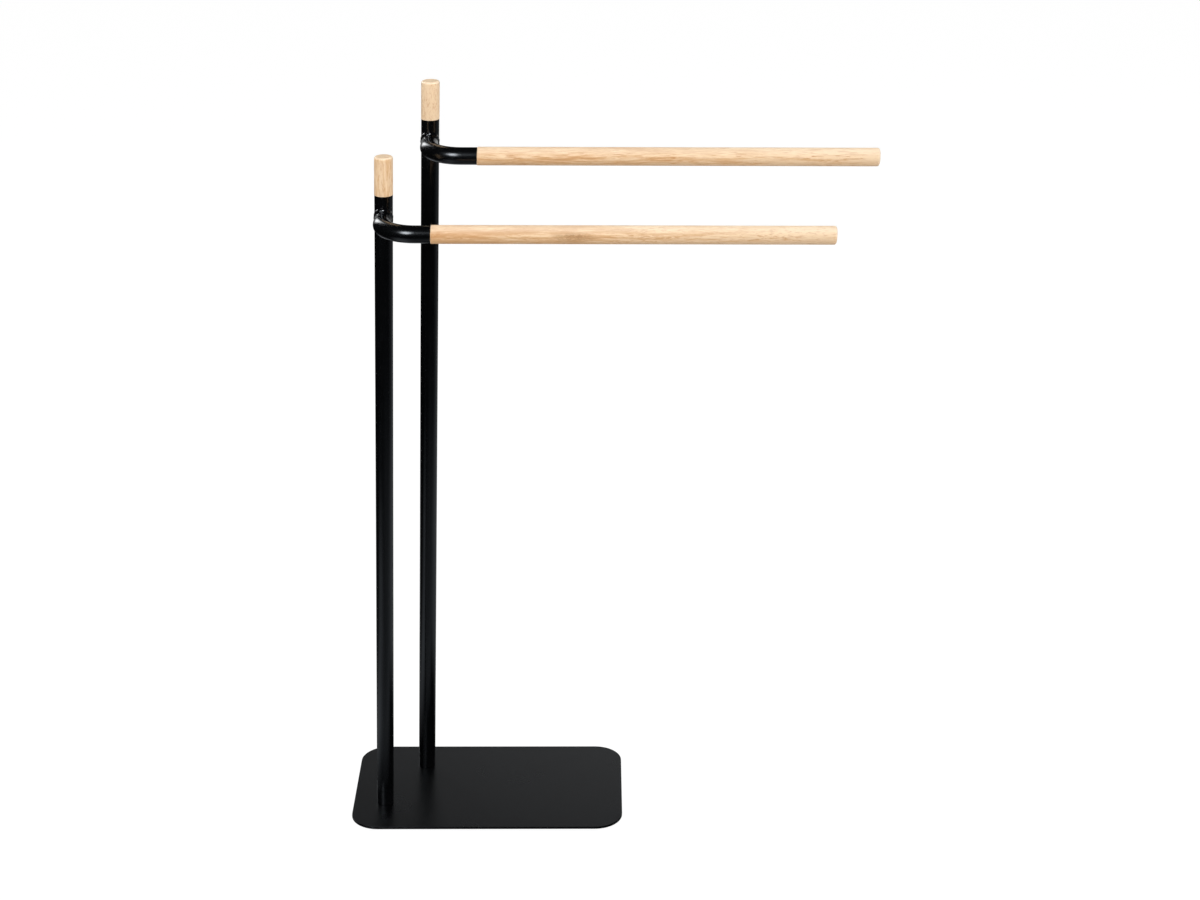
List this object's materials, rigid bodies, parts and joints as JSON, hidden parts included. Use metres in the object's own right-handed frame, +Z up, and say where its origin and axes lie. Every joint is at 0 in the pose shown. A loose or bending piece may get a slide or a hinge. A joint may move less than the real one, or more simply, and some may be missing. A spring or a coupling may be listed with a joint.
{
  "type": "freestanding towel stand",
  "caption": "Freestanding towel stand: a flat rounded base plate with round posts of unequal height, each with a bent arm that carries a wooden towel bar, and wooden post caps.",
  "frame": {"origin": "on the floor, under the middle of the stand's overall box", "axes": "+Z up, along the posts; +X to the right, from the arms along the bars to their free ends; +Y from the front bar towards the rear bar"},
  "size_m": [0.543, 0.1934, 0.82],
  "materials": {
    "plate_black": "fine-textured satin powder coat, charcoal black",
    "tube_black": "smooth glossy powder coat, black",
    "weld_black": "glossy powder coat over a rippled weld bead",
    "light_wood": "pale honey-coloured wood, fine grain, clear matt lacquer",
    "black_rubber": "matt black rubber",
    "zinc_steel": "bright zinc plating"
  },
  "bodies": {
    "root": {"base_plate": "plate_black", "foot_pad_front_left": "black_rubber", "foot_pad_front_right": "black_rubber", "foot_pad_rear_left": "black_rubber", "foot_pad_rear_right": "black_rubber", "front_post": "tube_black", "front_arm": "tube_black", "front_arm_weld": "weld_black", "front_post_plug": "zinc_steel", "front_arm_plug": "zinc_steel", "front_foot_screw": "zinc_steel", "front_bar_stud": "zinc_steel", "front_bar": "light_wood", "front_cap": "light_wood", "rear_post": "tube_black", "rear_arm": "tube_black", "rear_arm_weld": "weld_black", "rear_post_plug": "zinc_steel", "rear_arm_plug": "zinc_steel", "rear_foot_screw": "zinc_steel", "rear_bar_stud": "zinc_steel", "rear_bar": "light_wood", "rear_cap": "light_wood"}
  },
  "joints": []
}
